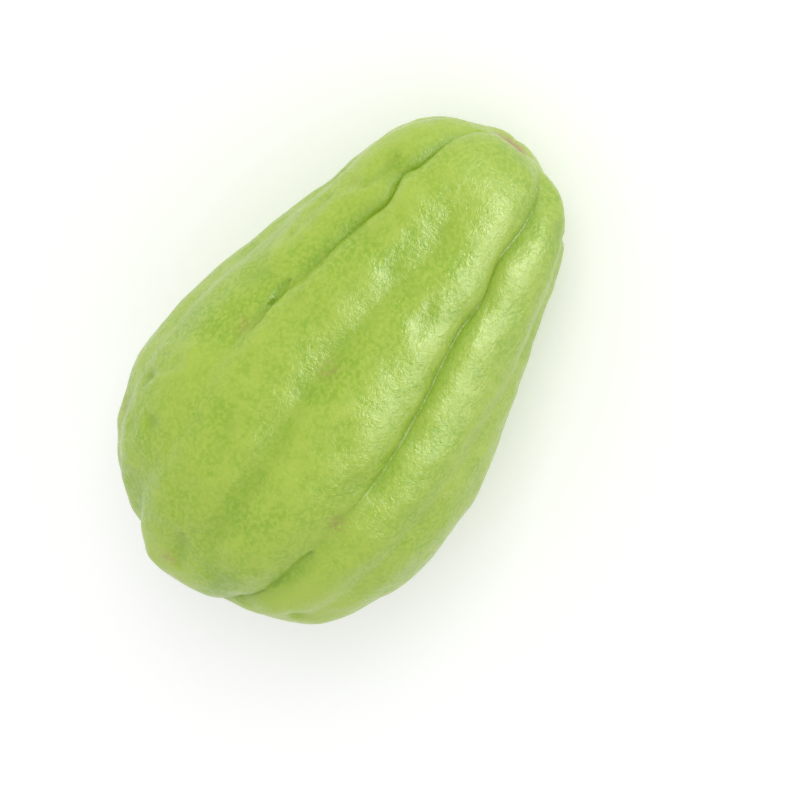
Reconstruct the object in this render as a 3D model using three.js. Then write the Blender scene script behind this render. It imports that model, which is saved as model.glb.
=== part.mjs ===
// A chayote squash, whole, lying on its side as picked. Millimetres, +Z up, resting on z = 0.
//
// The fruit is one skin: a pear-shaped body whose outline is swept round a long axis, cut by
// five deep furrows that run from the stem to the blossom end. Between two furrows lies a lobe,
// and down each lobe runs a shallower groove. The stem end points to +X.
//
// Lists of values along the fruit are stations, evenly spaced from the stem end (first) to the
// blossom end (last), with a smooth curve drawn through them. Angles go round the long axis,
// 0 facing up and 90 facing +Y.

import * as THREE from 'three';

// ---- driving dimensions -------------------------------------------------------------------

const LENGTH = 135;            // along the fruit's own axis, before the ends are dented
const FLATTEN = 0.88;          // thickness over width: the fruit is wider than it is thick
const END_ROUNDNESS = 0.8;     // 1 gives pointed egg ends, smaller gives blunter ends

// Radius of the body as a polynomial in the distance along the axis (-1 blossom, +1 stem):
// the first value is the radius half way, the second slims the stem half and fattens the other.
const GIRTH = [40.8, -15, 0.8, 14.2];

// Both ends are dented: a round dimple under the stem scar, and a long mouth-like fold where
// the lobes close over the dried flower.
const STEM_DENT = { depth: 2.5, across: 7, along: 7, turn: 0 };
const BLOSSOM_DENT = { depth: 7, across: 5.5, along: 14, turn: 70 };
const CALM_RADIUS = 9;         // lobes and furrows die out this near the axis

// Furrows in order round the fruit. `depth` is how far one sinks, `crease` what part of that is
// a sharp crease rather than a soft valley, `before` and `after` how far its two banks spread,
// measured over the skin toward lower and higher angles.
const HIDDEN_DEPTH = [2, 3.8, 4.4, 4.2, 4, 4.2, 3.6];
const HIDDEN_CREASE = [0.5, 0.5, 0.6, 0.5, 0.4, 0.5, 0.5];
const FURROWS = [
  { angle: [-75, -47, -35, -33.5, -30, -33, -38], depth: [2, 4.4, 4.8, 4.4, 3, 4.2, 3.6],
    crease: [0.5, 0.65, 0.7, 0.65, 0.2, 0.5, 0.5], before: 6.5, after: 6.5 },
  { angle: [53, 42, 37, 38.5, 33, 52, 52], depth: [2, 4.8, 5, 2.4, 1.2, 3, 3.6],
    crease: [0.5, 0.65, 0.7, 0.3, 0, 0.3, 0.5], before: 4.2, after: 6.5 },
  { angle: [126, 118, 113, 112, 111, 109, 106], depth: HIDDEN_DEPTH, crease: HIDDEN_CREASE,
    before: 6.5, after: 6.5 },
  { angle: [182, 179, 178, 180, 183, 183, 180], depth: HIDDEN_DEPTH, crease: HIDDEN_CREASE,
    before: 6, after: 6 },
  { angle: [240, 242, 249, 256, 259, 260, 258], depth: HIDDEN_DEPTH, crease: HIDDEN_CREASE,
    before: 6.5, after: 6.5 },
];

// Lobe k lies between furrow k and the next one. `swell` lifts its middle, `share` places the
// shallow groove across it (0 at its own furrow, 1 at the next), `dip` is that groove's depth.
const LEVEL = [0, 0, 0, 0, 0, 0, 0];
const MIDDLE = [0.5, 0.5, 0.5, 0.5, 0.5, 0.5, 0.5];
const HIDDEN_DIP = [0.3, 1.2, 1.8, 1.8, 1.6, 1.2, 0.4];
const LOBES = [
  { swell: LEVEL, share: [0.5, 0.48, 0.51, 0.55, 0.52, 0.48, 0.5],
    dip: [0, 0.5, 2.6, 3.2, 2.8, 1.6, 0.3], spread: 6.5 },
  { swell: [-1.5, -1, -1.5, -1.5, 0, 0, -1.5], share: [0.55, 0.55, 0.6, 0.5, 0.45, 0.45, 0.45],
    dip: [0.3, 0.8, 1, 1, 1, 1.2, 0.5], spread: 4.5 },
  { swell: LEVEL, share: MIDDLE, dip: HIDDEN_DIP, spread: 6 },
  { swell: LEVEL, share: MIDDLE, dip: HIDDEN_DIP, spread: 6 },
  { swell: [-1.5, 1, 0, 0.5, 0, -1, -1.5], share: [0.28, 0.42, 0.42, 0.62, 0.66, 0.6, 0.4],
    dip: [0.5, 1.8, 1.2, 1.3, 1.4, 1.4, 0.5], spread: 5 },
];

const CREASE_TIGHTNESS = 2.6;
const GROOVE_CREASE = 0.15;    // the crease part of the shallow grooves
const BLEND_RADIUS = 10;       // least radius used when an angle is turned into a gap over the skin

// The pose the fruit settles in: belly down on two lobes, stem end tipped toward the ground.
const REST_TIP = 11.4;         // degrees
const BEDDING = 0.5;           // the underside is pressed flat by this much where it touches

// Mesh fineness.
const ROWS = 66;
const COLUMNS_PER_LOBE = 14;

const DEGREE = Math.PI / 180;

// ---- curves -------------------------------------------------------------------------------

/** Smooth curve through evenly spaced stations, read at t from 0 (stem) to 1 (blossom). */
function along(stations, t) {
  const last = stations.length - 1;
  const place = Math.min(Math.max(t, 0), 1) * last;
  const i = Math.min(Math.floor(place), last - 1);
  const f = place - i;
  const at = (k) => {
    if (k < 0) return 2 * stations[0] - stations[1];
    if (k > last) return 2 * stations[last] - stations[last - 1];
    return stations[k];
  };
  const [a, b, c, d] = [at(i - 1), at(i), at(i + 1), at(i + 2)];
  return 0.5 * (2 * b + (c - a) * f + (2 * a - 5 * b + 4 * c - d) * f * f
    + (3 * b - a - 3 * c + d) * f ** 3);
}

/** Even steps from 0 to 1 drawn toward both ends, so creases and tips get the finer mesh. */
function crowd(u) {
  return u - 0.5 * Math.sin(2 * Math.PI * u) / (2 * Math.PI);
}

/** Difference of two angles, brought into half a turn either way. */
function turnBetween(a, b) {
  const d = a - b;
  return d - 2 * Math.PI * Math.round(d / (2 * Math.PI));
}

// ---- the body -----------------------------------------------------------------------------

/** Outline of the plain pear body: distance along the axis and radius. */
function outline(t) {
  const x = Math.cos(Math.PI * t);
  const girth = GIRTH.reduce((sum, value, power) => sum + value * x ** power, 0);
  return { x: LENGTH / 2 * x, r: Math.sin(Math.PI * t) ** END_ROUNDNESS * girth };
}

/** Direction square to the outline, pointing out of the fruit. */
function outlineNormal(t) {
  const step = 0.002;
  const from = outline(Math.max(t - step, 0));
  const to = outline(Math.min(t + step, 1));
  const size = Math.hypot(to.x - from.x, to.r - from.r);
  return { x: (to.r - from.r) / size, r: (from.x - to.x) / size };
}

/** Cross-section of a furrow, 1 at its bottom and 0 far away; gap in widths. */
function groove(gap, crease) {
  return crease * Math.exp(-CREASE_TIGHTNESS * gap) + (1 - crease) * Math.exp(-gap * gap);
}

/** Depth of the five furrows together at one place on the skin. */
function furrowDepth(t, angle, arc) {
  let sum = 0;
  for (const furrow of FURROWS) {
    const gap = turnBetween(angle, along(furrow.angle, t) * DEGREE) * arc;
    const width = gap > 0 ? furrow.after : furrow.before;
    const depth = Math.max(along(furrow.depth, t), 0);
    const crease = Math.min(Math.max(along(furrow.crease, t), 0), 1);
    sum += (depth * groove(Math.abs(gap) / width, crease)) ** 3;
  }
  return Math.cbrt(sum);
}

/** Height of a lobe over the plain body: its swell less its shallow groove. */
function lobeHeight(lobe, t, share, arcWidth) {
  const away = Math.max(Math.sin(Math.PI * share), 0);
  const gap = Math.abs(share - along(lobe.share, t)) * arcWidth / lobe.spread;
  const dip = Math.max(along(lobe.dip, t), 0) * groove(gap, GROOVE_CREASE);
  return along(lobe.swell, t) * away - dip * Math.sqrt(away);
}

/** How far an end is dented at radius r and angle. */
function dent(shape, r, angle) {
  const turn = angle - shape.turn * DEGREE;
  return shape.depth * Math.exp(-((r * Math.sin(turn) / shape.across) ** 2)
    - (r * Math.cos(turn) / shape.along) ** 2);
}

/** One point of the skin: lobe k, share 0..1 across it, t 0..1 from stem to blossom. */
function skinPoint(k, share, t) {
  const start = along(FURROWS[k].angle, t);
  const end = k + 1 < FURROWS.length ? along(FURROWS[k + 1].angle, t) : along(FURROWS[0].angle, t) + 360;
  const angle = (start + (end - start) * share) * DEGREE;
  const { x, r } = outline(t);
  const normal = outlineNormal(t);
  const arc = Math.max(r, BLEND_RADIUS);
  const calm = 1 - Math.exp(-((r / CALM_RADIUS) ** 2));
  const width = (end - start) * DEGREE * arc;
  const lift = (lobeHeight(LOBES[k], t, share, width) - furrowDepth(t, angle, arc)) * calm;
  const sunk = t < 0.5 ? -dent(STEM_DENT, r, angle) : dent(BLOSSOM_DENT, r, angle);
  const radius = Math.max(r + normal.r * lift, 0);
  return new THREE.Vector3(x + normal.x * lift + sunk,
    radius * Math.sin(angle), radius * Math.cos(angle) * FLATTEN);
}

// ---- the mesh -----------------------------------------------------------------------------

/** Closed skin: a tip at each end and rings of points between them. */
function buildSkin() {
  const columns = FURROWS.length * COLUMNS_PER_LOBE;
  const points = [skinPoint(0, 0, 0)];
  for (let row = 1; row < ROWS; row += 1) {
    for (let column = 0; column < columns; column += 1) {
      const lobe = Math.floor(column / COLUMNS_PER_LOBE);
      const share = crowd((column % COLUMNS_PER_LOBE) / COLUMNS_PER_LOBE);
      points.push(skinPoint(lobe, share, crowd(row / ROWS)));
    }
  }
  points.push(skinPoint(0, 0, 1));

  const last = points.length - 1;
  const ring = (row, column) => 1 + (row - 1) * columns + (column % columns);
  const faces = [];
  for (let column = 0; column < columns; column += 1) {
    faces.push(0, ring(1, column + 1), ring(1, column));
    for (let row = 1; row < ROWS - 1; row += 1) {
      const [a, b] = [ring(row, column), ring(row, column + 1)];
      const [c, d] = [ring(row + 1, column), ring(row + 1, column + 1)];
      faces.push(a, d, c, a, b, d);
    }
    faces.push(last, ring(ROWS - 1, column), ring(ROWS - 1, column + 1));
  }
  return { points, faces };
}

/** Tip the fruit into its resting pose, centre it, set it on z = 0 and press the contact flat. */
function layDown(points) {
  const pose = new THREE.Matrix4().makeRotationY(REST_TIP * DEGREE);
  points.forEach((point) => point.applyMatrix4(pose));
  const box = new THREE.Box3().setFromPoints(points);
  const middle = box.getCenter(new THREE.Vector3());
  const ground = new THREE.Vector3(middle.x, middle.y, box.min.z + BEDDING);
  points.forEach((point) => {
    point.sub(ground);
    point.z = Math.max(point.z, 0);
  });
}

function buildFruit() {
  const { points, faces } = buildSkin();
  layDown(points);
  const geometry = new THREE.BufferGeometry().setFromPoints(points);
  geometry.setIndex(faces);
  geometry.computeVertexNormals();
  const skin = new THREE.MeshStandardMaterial({ color: 0x9fbf4f, roughness: 0.4 });
  const fruit = new THREE.Mesh(geometry, skin);
  fruit.name = 'fruit';
  return fruit;
}

const group = new THREE.Group();
group.name = 'chayote';
group.add(buildFruit());

export default group;
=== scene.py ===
from math import radians

import bpy
import numpy as np
from mathutils import Matrix, Vector, noise

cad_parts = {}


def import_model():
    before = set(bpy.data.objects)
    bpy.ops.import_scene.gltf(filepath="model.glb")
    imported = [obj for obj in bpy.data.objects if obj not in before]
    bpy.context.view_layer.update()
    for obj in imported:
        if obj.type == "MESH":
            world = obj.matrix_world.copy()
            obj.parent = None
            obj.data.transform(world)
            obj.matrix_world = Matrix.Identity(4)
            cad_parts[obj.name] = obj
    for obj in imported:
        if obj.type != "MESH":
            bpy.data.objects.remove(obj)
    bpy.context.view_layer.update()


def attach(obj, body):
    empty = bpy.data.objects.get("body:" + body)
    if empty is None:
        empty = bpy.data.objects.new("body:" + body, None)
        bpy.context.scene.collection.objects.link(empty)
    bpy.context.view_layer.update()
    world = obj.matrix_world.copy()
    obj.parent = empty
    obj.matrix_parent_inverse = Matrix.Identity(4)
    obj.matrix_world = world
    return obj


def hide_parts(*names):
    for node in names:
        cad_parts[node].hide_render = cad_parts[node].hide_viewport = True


# A chayote squash, whole, lying on its side on a pale studio floor.
#
# Shape values are in millimetres and become metres when the mesh is made. Lists along the fruit
# are stations, evenly spaced from the stem end (first) to the blossom end (last). Angles go
# round the fruit's long axis, 0 facing up and 90 facing +Y.

# ---- the body ------------------------------------------------------------------------------

LENGTH = 135.0            # along the fruit's own axis, before the ends are dented
FLATTEN = 0.88            # thickness over width
END_ROUNDNESS = 0.8       # smaller gives blunter ends
GIRTH = (40.8, -15.0, 0.8, 14.2)   # radius as a polynomial in the distance along the axis
STEM_DENT = dict(depth=2.5, across=7.0, along=7.0, turn=0.0)
BLOSSOM_DENT = dict(depth=7.0, across=5.5, along=14.0, turn=70.0)
CALM_RADIUS = 9.0         # lobes and furrows die out this near the axis

# Furrows in order round the fruit: where they run, how deep they sink, what part of that is a
# sharp crease rather than a soft valley, and how far their two banks spread.
HIDDEN_DEPTH = (2, 3.8, 4.4, 4.2, 4, 4.2, 3.6)
HIDDEN_CREASE = (0.5, 0.5, 0.6, 0.5, 0.4, 0.5, 0.5)
FURROWS = (
    dict(angle=(-75, -47, -35, -33.5, -30, -33, -38), depth=(2, 4.4, 4.8, 4.4, 3, 4.2, 3.6),
         crease=(0.5, 0.65, 0.7, 0.65, 0.2, 0.5, 0.5), before=6.5, after=6.5),
    dict(angle=(53, 42, 37, 38.5, 33, 52, 52), depth=(2, 4.8, 5, 2.4, 1.2, 3, 3.6),
         crease=(0.5, 0.65, 0.7, 0.3, 0, 0.3, 0.5), before=4.2, after=6.5),
    dict(angle=(126, 118, 113, 112, 111, 109, 106), depth=HIDDEN_DEPTH, crease=HIDDEN_CREASE,
         before=6.5, after=6.5),
    dict(angle=(182, 179, 178, 180, 183, 183, 180), depth=HIDDEN_DEPTH, crease=HIDDEN_CREASE,
         before=6.0, after=6.0),
    dict(angle=(240, 242, 249, 256, 259, 260, 258), depth=HIDDEN_DEPTH, crease=HIDDEN_CREASE,
         before=6.5, after=6.5),
)

# Lobes between one furrow and the next: how far they swell, and the shallow groove down each,
# as its share of the way across, its dip and how far it spreads.
LEVEL = (0, 0, 0, 0, 0, 0, 0)
MIDDLE = (0.5, 0.5, 0.5, 0.5, 0.5, 0.5, 0.5)
HIDDEN_DIP = (0.3, 1.2, 1.8, 1.8, 1.6, 1.2, 0.4)
LOBES = (
    dict(swell=LEVEL, share=(0.5, 0.48, 0.51, 0.55, 0.52, 0.48, 0.5),
         dip=(0, 0.5, 2.6, 3.2, 2.8, 1.6, 0.3), spread=6.5),
    dict(swell=(-1.5, -1, -1.5, -1.5, 0, 0, -1.5), share=(0.55, 0.55, 0.6, 0.5, 0.45, 0.45, 0.45),
         dip=(0.3, 0.8, 1, 1, 1, 1.2, 0.5), spread=4.5),
    dict(swell=LEVEL, share=MIDDLE, dip=HIDDEN_DIP, spread=6.0),
    dict(swell=LEVEL, share=MIDDLE, dip=HIDDEN_DIP, spread=6.0),
    dict(swell=(-1.5, 1, 0, 0.5, 0, -1, -1.5), share=(0.28, 0.42, 0.42, 0.62, 0.66, 0.6, 0.4),
         dip=(0.5, 1.8, 1.2, 1.3, 1.4, 1.4, 0.5), spread=5.0),
)

CREASE_TIGHTNESS = 2.6    # higher gives narrower creases
GROOVE_CREASE = 0.15      # crease share of the shallow groove down each lobe
BLEND_RADIUS = 10.0       # angles are turned into widths as if the fruit were at least this thick
NORMAL_STEP = 0.002       # share of the length over which the outline's slope is read

REST_TIP = 11.4           # degrees the stem end tips toward the floor
BEDDING = 0.5             # flattened by this much where it touches the floor

ROWS = 330
COLUMNS_PER_LOBE = 56

# ---- skin relief ----------------------------------------------------------------------------

SWAYS = ((16.0, 1.3), (5.5, 0.7))        # wavelength and degrees that the furrow lines wander
# Places where a furrow's line steps aside: furrow, place along, degrees, reach along.
KINKS = (
    (0, 0.262, 2.5, 0.03), (0, 0.335, -1.5, 0.03),
    (1, 0.248, 3.5, 0.02), (1, 0.292, -2.5, 0.02),
)
LUMPS = ((17.0, 0.42), (7.5, 0.38), (3.4, 0.16))   # wavelength and height of the unevenness
PUCKER_LENGTH = 5.0       # little folds that cross the banks of the furrows
PUCKER_REACH = 7.0        # how far from a furrow they fade
PUCKER = 0.35             # their height
PUCKER_DEPTH = 4.0        # furrows shallower than this hold the puckers off
PUCKER_HOLD = 4.0         # by this much for each millimetre they are short
FAR = 99.0                # farther than any skin lies from a furrow
END_FADE = 0.04           # share of the length at each end over which the relief fades out
FURROW_FULL = 5.0         # depth that counts as fully in a furrow
SWAY_SEED = 7.3           # keeps one furrow's wandering unlike the next one's
LUMP_SEED = 3.1           # keeps one size of lump unlike the next

# Single knobs (raised) and dimples (sunk): place along, angle, radius, height.
KNOBS = (
    (0.275, 29, 4.0, 0.9), (0.265, 52, 4.0, -0.6), (0.06, 180, 8.0, 1.4),
    (0.18, 292, 3.0, -0.9), (0.303, 56, 2.5, -0.8), (0.632, 60, 2.5, -1.2),
    (0.667, 46, 2.2, -0.9), (0.692, 55, 2.0, -0.7), (0.797, -54, 2.5, -1.5),
    (0.591, -31, 3.0, 0.6), (0.569, -26, 3.0, -0.5), (0.46, 52, 6.0, -0.5),
    (0.875, 33, 8.0, 1.6), (0.84, -13, 7.0, -1.0),
    (0.80, -64, 13.0, 1.9), (0.24, 74, 10.0, 1.2), (0.862, 0, 6.0, 0.9), (0.867, 50, 3.5, -1.0),
)
# Short nicks (sunk) and pinched ridges (raised): from place and angle, to place and angle,
# radius, height.
NICKS = (
    (0.438, 40.5, 0.466, 38.5, 1.2, -1.1), (0.463, 38.5, 0.5, 36.5, 1.3, -0.8),
    (0.445, 36, 0.48, 34.5, 2.0, 0.5),
    (0.68, -30, 0.775, -32, 1.9, -0.9), (0.775, 14.4, 0.85, 12.4, 1.8, -0.8),
    (0.592, 60, 0.562, 47, 2.6, 0.5), (0.562, 47, 0.592, 42, 2.2, 0.6),
    (0.592, 43, 0.622, 54, 2.2, 0.5), (0.6, 50, 0.63, 60, 2.0, -0.5),
    (0.52, 6, 0.66, 1, 4.0, -0.3), (0.63, 2, 0.76, 1.5, 3.5, -0.3),
    (0.60, 10, 0.74, 10, 4.0, 0.4), (0.19, -85, 0.2, -100, 1.5, -1.0),
    (0.30, 12, 0.36, 10, 2.0, -0.35), (0.36, -14, 0.40, -16, 2.5, -0.5),
    (0.52, -12, 0.56, -8, 3.0, -0.5), (0.60, 18, 0.66, 14, 3.0, -0.5),
    (0.24, 52, 0.30, 50, 2.0, -0.7), (0.34, 62, 0.40, 58, 2.5, -0.6),
)
# Corky marks where the skin was rubbed: place along, angle, radius.
SCUFFS = ((0.504, 39, 2.2), (0.481, 4, 2.0), (0.627, -29, 2.4), (0.694, 73, 2.0), (0.84, 18, 2.0))
SCAR_RADIUS = 4.5         # corky scar where the stem was
FOLD_RADIUS = 4.0         # browned skin in the fold where the flower was

# ---- camera ---------------------------------------------------------------------------------

STEM_TOWARD_VIEW = 12.0   # degrees the stem end of the axis leans toward the camera
AXIS_IN_VIEW = 53.8       # degrees from the frame's right to the stem end
VIEW_DISTANCE = 700.0
VIEW_OFFSET = (-13.0, 9.5)   # the fruit's middle sits this far right and up of the frame's centre
LENS = 130.0
NEAREST_SEEN = 10.0       # nothing nearer the camera than this is drawn

# ---- studio values ---------------------------------------------------------------------------

FLOOR_HALF = 3.0          # metres from the middle to each edge
ROOM_GLOW = 0.8
AIM_HEIGHT = 40.0         # the soft lights point at this height over the floor
LIGHT_DISTANCE = 0.9      # metres
# Direction is right, up and toward the camera, in the camera's frame. Size in metres, power in
# watts. A gloss light shows only in the shine, the others only in the body colour.
SOFTBOXES = (
    dict(name="right_softbox", direction=(0.75, -0.15, 0.6), size=(0.8, 0.8), power=7.0, gloss=True),
    dict(name="stem_softbox", direction=(0.6, 0.19, 0.77), size=(0.4, 0.4), power=3.0, gloss=True),
    dict(name="back_softbox", direction=(0.35, 0.75, 0.5), size=(0.6, 0.6), power=1.3, gloss=True),
    dict(name="key_softbox", direction=(0, 0.25, 0.95), size=(0.4, 0.4), power=2.4, gloss=False),
)

MM = 0.001

# ---- colours --------------------------------------------------------------------------------

SKIN_GREEN = (0.255, 0.435, 0.014, 1)
# Paler green: random mottle, and also a painted highlight on raised places.
SKIN_PALE = (0.395, 0.54, 0.055, 1)
# Darker green painted as shade into the furrows and hollows.
SKIN_PAINTED_SHADE = (0.19, 0.35, 0.006, 1)
CORK = (0.38, 0.22, 0.09, 1)
FOLD_BROWN = (0.16, 0.11, 0.03, 1)
WRINKLE_HEIGHT = 0.00042  # metres


def along(stations, t):
    """Smooth curve through evenly spaced stations, read at t from 0 (stem) to 1 (blossom)."""
    v = np.asarray(stations, float)
    last = len(v) - 1
    place = np.clip(t, 0, 1) * last
    i = np.minimum(place.astype(int), last - 1)
    f = place - i
    v = np.concatenate([[2 * v[0] - v[1]], v, [2 * v[-1] - v[-2]]])
    a, b, c, d = v[i], v[i + 1], v[i + 2], v[i + 3]
    return 0.5 * (2 * b + (c - a) * f + (2 * a - 5 * b + 4 * c - d) * f ** 2
                  + (3 * b - a - 3 * c + d) * f ** 3)


def crowd(u):
    """Even steps drawn toward both ends, so creases and tips get the finer mesh."""
    return u - 0.5 * np.sin(2 * np.pi * u) / (2 * np.pi)


def outline(t):
    """Plain pear body: distance along the axis and radius."""
    x = np.cos(np.pi * t)
    girth = sum(value * x ** power for power, value in enumerate(GIRTH))
    return LENGTH / 2 * x, np.maximum(np.sin(np.pi * t), 0) ** END_ROUNDNESS * girth


def outline_normal(t):
    """Direction square to the outline, pointing out of the fruit."""
    x0, r0 = outline(np.maximum(t - NORMAL_STEP, 0))
    x1, r1 = outline(np.minimum(t + NORMAL_STEP, 1))
    size = np.hypot(x1 - x0, r1 - r0)
    return (r1 - r0) / size, (x0 - x1) / size


def groove(gap, crease):
    """Cross-section of a furrow, 1 at its bottom and 0 far away; gap in widths."""
    return crease * np.exp(-CREASE_TIGHTNESS * gap) + (1 - crease) * np.exp(-gap ** 2)


def sway(t, k):
    """Wandering of furrow k's line, in degrees."""
    wander = sum(degrees * np.array([noise.noise(Vector((s * LENGTH / wavelength, SWAY_SEED * k, 0.5)))
                                     for s in t]) for wavelength, degrees in SWAYS)
    return wander + sum(degrees * np.exp(-((t - place) / reach) ** 2)
                        for furrow, place, degrees, reach in KINKS if furrow == k)


def dent(shape, r, angle):
    """How far an end is dented at radius r and angle."""
    turn = angle - radians(shape["turn"])
    return shape["depth"] * np.exp(-(r * np.sin(turn) / shape["across"]) ** 2
                                   - (r * np.cos(turn) / shape["along"]) ** 2)


def skin():
    """Grid of the skin, rows by columns: points, place along, angle, how deep it is cut, and how
    far it lies from the nearest furrow."""
    t = crowd(np.arange(ROWS + 1) / ROWS)
    share = crowd(np.arange(COLUMNS_PER_LOBE) / COLUMNS_PER_LOBE)
    lines = [along(f["angle"], t) + sway(t, k) for k, f in enumerate(FURROWS)]
    lines.append(lines[0] + 360)
    x, r = (v[:, None] for v in outline(t))
    normal_x, normal_r = (v[:, None] for v in outline_normal(t))
    arc = np.maximum(r, BLEND_RADIUS)
    calm = 1 - np.exp(-(r / CALM_RADIUS) ** 2)
    parts = []
    for k, lobe in enumerate(LOBES):
        start, end = lines[k][:, None], lines[k + 1][:, None]
        angle = np.radians(start + (end - start) * share)
        cut, nearest = 0, np.full(angle.shape, FAR)
        for line, furrow in zip(lines, FURROWS):
            gap = angle - np.radians(line)[:, None]
            gap = (gap - 2 * np.pi * np.round(gap / (2 * np.pi))) * arc
            width = np.where(gap > 0, furrow["after"], furrow["before"])
            depth = np.maximum(along(furrow["depth"], t), 0)[:, None]
            crease = np.clip(along(furrow["crease"], t), 0, 1)[:, None]
            cut = cut + (depth * groove(np.abs(gap) / width, crease)) ** 3
            held_off = np.maximum(PUCKER_DEPTH - depth, 0) * PUCKER_HOLD
            nearest = np.minimum(nearest, np.abs(gap) + held_off)
        cut = np.cbrt(cut)
        away = np.sin(np.pi * share)
        lobe_width = np.radians(end - start) * arc
        gap = np.abs(share - along(lobe["share"], t)[:, None]) * lobe_width / lobe["spread"]
        dip = np.maximum(along(lobe["dip"], t), 0)[:, None] * groove(gap, GROOVE_CREASE)
        lift = along(lobe["swell"], t)[:, None] * away - dip * np.sqrt(away)
        lift = (lift - cut) * calm
        stem_half = (t < 0.5)[:, None]
        sunk = np.where(stem_half, -dent(STEM_DENT, r, angle), dent(BLOSSOM_DENT, r, angle))
        radius = np.maximum(r + normal_r * lift, 0)
        points = np.stack([x + normal_x * lift + sunk, radius * np.sin(angle),
                           radius * np.cos(angle) * FLATTEN], -1)
        parts.append((points, t[:, None] + 0 * angle, angle, (cut + dip) * calm, nearest))
    return [np.concatenate(grids, 1) for grids in zip(*parts)]


def surface_normals(points):
    """Outward normals of the closed grid of points."""
    down = np.gradient(points, axis=0)
    wrapped = np.concatenate([points[:, -1:], points, points[:, :1]], 1)
    round_ = (wrapped[:, 2:] - wrapped[:, :-2]) / 2
    normal = np.cross(round_, down)
    normal /= np.linalg.norm(normal, axis=-1, keepdims=True) + 1e-9
    normal[0], normal[-1] = (1, 0, 0), (-1, 0, 0)
    outward = (points - points.mean((0, 1))) * normal
    return normal if outward.sum() > 0 else -normal


def field(points, wavelength, seed):
    """Smooth noise over the skin, about -1 to 1."""
    flat = points.reshape(-1, 3) / wavelength + seed
    return np.array([noise.noise(Vector(p)) for p in flat]).reshape(points.shape[:2])


def lay_down(points):
    """Rest pose: stem end tipped to the floor, footprint centred, underside pressed flat."""
    tip = np.array(Matrix.Rotation(radians(REST_TIP), 3, "Y"))
    points = points @ tip.T
    low, high = points.min((0, 1)), points.max((0, 1))
    ground = np.array([(low[0] + high[0]) / 2, (low[1] + high[1]) / 2, low[2] + BEDDING])
    points = points - ground
    points[..., 2] = np.maximum(points[..., 2], 0)
    return points, -ground


def add_mesh(name, points, masks):
    """Closed mesh from the grid of points: its first and last rows close to a single point."""
    rows, columns = points.shape[:2]
    inner = points[1:-1].reshape(-1, 3)
    vertices = np.concatenate([points[0, :1], inner, points[-1, :1]]) * MM
    index = np.arange(1, len(inner) + 1).reshape(rows - 2, columns)
    beside = np.roll(index, -1, 1)
    quads = np.stack([index[:-1], beside[:-1], beside[1:], index[1:]], -1).reshape(-1, 4)
    tip, tail = 0, len(vertices) - 1
    caps = [(tip, b, a) for a, b in zip(index[0], beside[0])]
    caps += [(tail, a, b) for a, b in zip(index[-1], beside[-1])]
    mesh = bpy.data.meshes.new(name)
    faces = [tuple(map(int, face)) for face in (*quads, *caps)]
    mesh.from_pydata(vertices.tolist(), [], faces)
    mesh.polygons.foreach_set("use_smooth", np.ones(len(faces), bool))
    for key, mask in masks.items():
        layer = mesh.attributes.new(key, "FLOAT", "POINT")
        values = np.concatenate([mask[0, :1], mask[1:-1].ravel(), mask[-1, :1]])
        layer.data.foreach_set("value", values.astype(np.float32))
    mesh.update()
    obj = bpy.data.objects.new(name, mesh)
    bpy.context.scene.collection.objects.link(obj)
    return obj


def spot(points, t, angle, place, degrees):
    """Point of the skin at a place along and an angle."""
    row = np.abs(t[:, 0] - place).argmin()
    turn = angle[row] - radians(degrees)
    column = np.abs(turn - 2 * np.pi * np.round(turn / (2 * np.pi))).argmin()
    return points[row, column]


def blot(points, middle, radius):
    """Soft round spot on the skin, 1 in its middle."""
    return np.exp(-(np.linalg.norm(points - middle, axis=-1) / radius) ** 2)


def stroke(points, start, end, radius):
    """Soft short line on the skin, 1 along its middle, tapering to its ends."""
    way = end - start
    share = np.clip((points - start) @ way / (way @ way), 0, 1)
    taper = 0.4 + 0.6 * np.sin(np.pi * share)
    return blot(points, start + share[..., None] * way, radius * taper)


def puckers(t, angle, nearest):
    """Little folds crossing the furrow banks, strongest by the crease."""
    flat = np.stack([t * LENGTH / PUCKER_LENGTH, angle * 2, np.zeros_like(t)], -1).reshape(-1, 3)
    ripple = np.array([noise.noise(Vector(p)) for p in flat]).reshape(t.shape)
    return PUCKER * ripple * np.exp(-nearest / PUCKER_REACH)


def skin_relief(points, t, angle, nearest):
    """Height of the lumps, puckers, knobs and nicks over the plain skin."""
    lift = sum(height * field(points, wavelength, LUMP_SEED * k)
               for k, (wavelength, height) in enumerate(LUMPS))
    lift = lift + puckers(t, angle, nearest)
    for place, degrees, radius, height in KNOBS:
        lift = lift + height * blot(points, spot(points, t, angle, place, degrees), radius)
    for place0, degrees0, place1, degrees1, radius, height in NICKS:
        start = spot(points, t, angle, place0, degrees0)
        end = spot(points, t, angle, place1, degrees1)
        lift = lift + height * stroke(points, start, end, radius)
    return lift


def skin_masks(points, t, angle, depth, lift):
    """What the skin's colour follows, each from 0 to 1: furrows (for painted shade), raised places
    (for painted highlight, and painted shade in the hollows), corky marks, the stem scar and the
    fold where the flower was."""
    scuffs = sum(blot(points, spot(points, t, angle, place, degrees), radius)
                 for place, degrees, radius in SCUFFS)
    from_stem = np.linalg.norm(points - points[0, 0], axis=-1)
    return {
        "furrow": np.clip(depth / FURROW_FULL, 0, 1),
        "raised": np.clip(0.5 + lift / 2, 0, 1),
        "cork": np.clip(scuffs, 0, 1),
        "scar": np.exp(-(from_stem / SCAR_RADIUS) ** 4),
        "fold": blot(points, points[-1, 0], FOLD_RADIUS),
    }


def build_fruit():
    """The fruit laid down, and where its middle went."""
    points, t, angle, depth, nearest = skin()
    lift = skin_relief(points, t, angle, nearest)
    masks = skin_masks(points, t, angle, depth, lift)
    fade = np.minimum(np.minimum(t, 1 - t) / END_FADE, 1)
    points, middle = lay_down(points + surface_normals(points) * (lift * fade)[..., None])
    return add_mesh("chayote_fruit", points, masks), middle


# ---- materials -----------------------------------------------------------------------------

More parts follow.
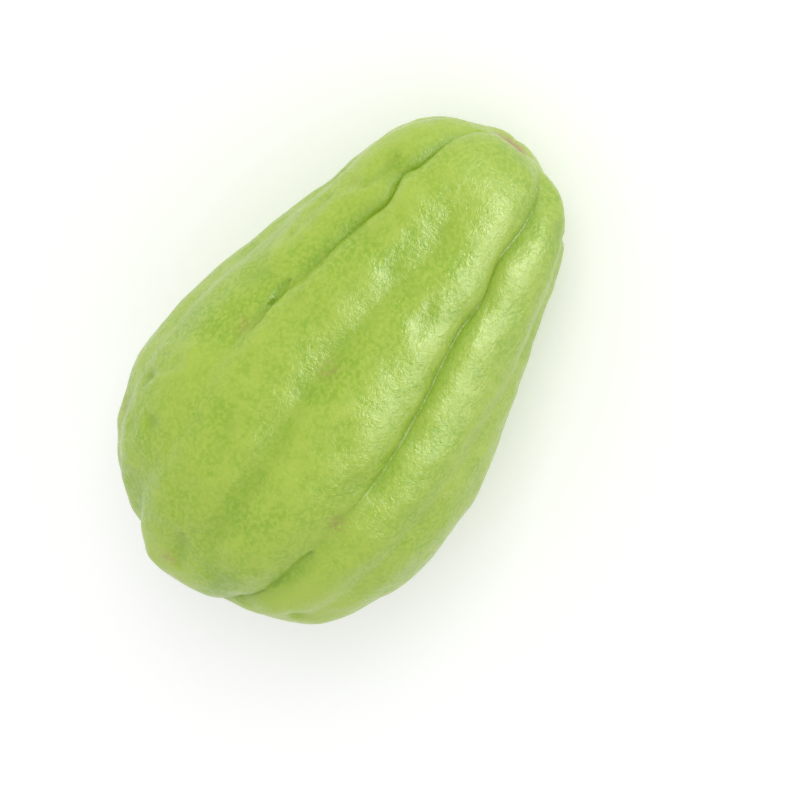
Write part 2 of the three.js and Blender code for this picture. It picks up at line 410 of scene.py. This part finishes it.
class Nodes:
    """Short ways to add and join shader nodes in one material."""

    def __init__(self, tree):
        self.tree = tree
        self.coordinates = self.add("ShaderNodeTexCoord").outputs["Object"]

    def add(self, kind, **values):
        """New node with these settings."""
        made = self.tree.nodes.new(kind)
        for key, value in values.items():
            setattr(made, key, value)
        return made

    def feed(self, socket, value):
        """Join a socket to another node's output, or set it to a plain value."""
        if isinstance(value, bpy.types.NodeSocket):
            self.tree.links.new(value, socket)
        else:
            socket.default_value = value

    def mask(self, name):
        """One of the mesh's own masks."""
        return self.add("ShaderNodeAttribute", attribute_name=name).outputs["Fac"]

    def grain(self, scale, detail=3.0, distortion=0.0):
        """Noise over the skin, finer for a larger scale."""
        made = self.add("ShaderNodeTexNoise")
        for socket, value in (("Vector", self.coordinates), ("Scale", scale), ("Detail", detail),
                              ("Distortion", distortion)):
            self.feed(made.inputs[socket], value)
        return made.outputs["Fac"]

    def spread(self, value, low, high, start=0.0, end=1.0):
        """Stretch low to high onto start to end, and hold it there outside."""
        made = self.add("ShaderNodeMapRange")
        for socket, number in (("Value", value), ("From Min", low), ("From Max", high),
                               ("To Min", start), ("To Max", end)):
            self.feed(made.inputs[socket], number)
        return made.outputs[0]

    def mix(self, factor, under, over):
        """Lay one colour over another as strongly as the factor says."""
        made = self.add("ShaderNodeMix", data_type="RGBA")
        for socket, value in ((0, factor), (6, under), (7, over)):
            self.feed(made.inputs[socket], value)
        return made.outputs[2]

    def combine(self, operation, a, b):
        """Sum or product of two values."""
        made = self.add("ShaderNodeMath", operation=operation)
        self.feed(made.inputs[0], a)
        self.feed(made.inputs[1], b)
        return made.outputs[0]


def skin_colour(nodes):
    """Mottled green, with painted highlight where raised, painted shade in hollows and furrows, corky
    marks.
    """
    mask, grain, spread, mix = nodes.mask, nodes.grain, nodes.spread, nodes.mix
    colour = mix(spread(grain(80, 4, 0.8), 0.35, 0.65), SKIN_GREEN, SKIN_PALE)
    colour = mix(spread(grain(280, 4, 0.6), 0.35, 0.65, 0, 0.7), colour, SKIN_GREEN)
    colour = mix(spread(grain(1000, 3), 0.42, 0.6, 0, 0.8), colour, SKIN_PALE)
    # Painted highlight: paler where the skin is raised.
    colour = mix(spread(mask("raised"), 0.5, 0.85, 0, 0.8), colour, SKIN_PALE)
    # Painted shade: darker green in the hollows.
    colour = mix(spread(mask("raised"), 0.45, 0.05, 0, 0.45), colour, SKIN_PAINTED_SHADE)
    # Painted shade: darker green down the furrows.
    colour = mix(spread(mask("furrow"), 0.35, 1, 0, 0.6), colour, SKIN_PAINTED_SHADE)
    corky = nodes.combine("MULTIPLY", mask("cork"), spread(grain(900, 4), 0.4, 0.6))
    colour = mix(nodes.combine("MULTIPLY", corky, 0.55), colour, CORK)
    scar = nodes.combine("MULTIPLY", mask("scar"), spread(grain(700, 4), 0.35, 0.55, 0.5, 1))
    colour = mix(scar, colour, CORK)
    return mix(nodes.combine("MULTIPLY", mask("fold"), 0.7), colour, FOLD_BROWN)


def skin_wrinkles(nodes):
    """Fine wrinkles and pores, as a normal."""
    wrinkles = nodes.combine("MULTIPLY", nodes.grain(450, 3, 1.0), 0.45)
    pores = nodes.combine("MULTIPLY", nodes.grain(1100, 3, 0.8), 0.45)
    bump = nodes.add("ShaderNodeBump")
    nodes.feed(bump.inputs["Strength"], 1.0)
    nodes.feed(bump.inputs["Distance"], WRINKLE_HEIGHT)
    nodes.feed(bump.inputs["Height"], nodes.combine("ADD", wrinkles, pores))
    return bump.outputs[0]


def skin_material():
    """Waxy green skin, finely wrinkled, a little see-through at its surface."""
    material = bpy.data.materials.new("chayote_skin")
    material.use_nodes = True
    material.node_tree.nodes.clear()
    nodes = Nodes(material.node_tree)
    shader = nodes.add("ShaderNodeBsdfPrincipled")
    out = nodes.add("ShaderNodeOutputMaterial")
    nodes.feed(out.inputs[0], shader.outputs[0])
    finish = {
        "Base Color": skin_colour(nodes),
        "Roughness": nodes.spread(nodes.grain(300, 4), 0.3, 0.7, 0.25, 0.42),
        "Normal": skin_wrinkles(nodes),
        "Sheen Weight": 0.15,
        "Sheen Roughness": 0.2,
        "Specular IOR Level": 0.65,
        "Subsurface Weight": 0.08,
        "Subsurface Radius": (1.0, 1.0, 0.25),
        "Subsurface Scale": 0.002,
    }
    for socket, value in finish.items():
        nodes.feed(shader.inputs[socket], value)
    return material


def floor_material():
    """Plain matt white that glows a little, so the floor stays pale."""
    material = bpy.data.materials.new("studio_floor")
    material.use_nodes = True
    shader = material.node_tree.nodes["Principled BSDF"]
    shader.inputs["Base Color"].default_value = (0.88, 0.88, 0.88, 1)
    shader.inputs["Roughness"].default_value = 0.9
    shader.inputs["Emission Color"].default_value = (1, 1, 1, 1)
    shader.inputs["Emission Strength"].default_value = 0.18
    return material


# ---- studio --------------------------------------------------------------------------------

def build_floor():
    """Flat square under the fruit."""
    corners = [(x * FLOOR_HALF, y * FLOOR_HALF, 0) for x, y in ((-1, -1), (1, -1), (1, 1), (-1, 1))]
    mesh = bpy.data.meshes.new("studio_floor")
    mesh.from_pydata(corners, [], [(0, 1, 2, 3)])
    floor = bpy.data.objects.new("studio_floor", mesh)
    bpy.context.scene.collection.objects.link(floor)
    mesh.materials.append(floor_material())


def view_axes():
    """Camera orientation: looking down, leaned toward the stem end, and turned in its frame."""
    lean = Matrix.Rotation(radians(STEM_TOWARD_VIEW + REST_TIP), 4, "Y")
    return lean @ Matrix.Rotation(radians(-AXIS_IN_VIEW), 4, "Z")


def build_camera(middle):
    """Camera over the fruit, looking down at its middle."""
    camera = bpy.data.objects.new("camera", bpy.data.cameras.new("camera"))
    bpy.context.scene.collection.objects.link(camera)
    axes = view_axes()
    back = axes @ Vector((-VIEW_OFFSET[0], -VIEW_OFFSET[1], VIEW_DISTANCE))
    camera.matrix_world = Matrix.Translation((Vector(middle) + back) * MM) @ axes
    camera.data.lens = LENS
    camera.data.clip_start = NEAREST_SEEN * MM
    bpy.context.scene.camera = camera


def add_softbox(name, direction, size, power, gloss):
    """Soft light seen only in the gloss, or only by the body colour."""
    light = bpy.data.lights.new(name, "AREA")
    light.shape = "RECTANGLE"
    light.size, light.size_y = size
    light.energy = power
    lamp = bpy.data.objects.new(name, light)
    bpy.context.scene.collection.objects.link(lamp)
    toward = (view_axes() @ Vector(direction)).normalized()
    lamp.location = Vector((0, 0, AIM_HEIGHT * MM)) + toward * LIGHT_DISTANCE
    lamp.rotation_euler = toward.to_track_quat("Z", "Y").to_euler()
    lamp.visible_diffuse = not gloss
    lamp.visible_glossy = gloss


def light_studio():
    """Even white room with soft lights round the camera."""
    world = bpy.data.worlds.new("studio")
    world.use_nodes = True
    world.node_tree.nodes["Background"].inputs[0].default_value = (1, 1, 1, 1)
    world.node_tree.nodes["Background"].inputs[1].default_value = ROOM_GLOW
    bpy.context.scene.world = world
    for softbox in SOFTBOXES:
        add_softbox(**softbox)
    bpy.context.scene.view_settings.view_transform = "Standard"


def main():
    """Load the frame, build the fruit over its CAD node, and set up the studio."""
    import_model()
    fruit, middle = build_fruit()
    fruit.data.materials.append(skin_material())
    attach(fruit, "root")
    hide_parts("fruit")
    build_floor()
    build_camera(middle)
    light_studio()


main()
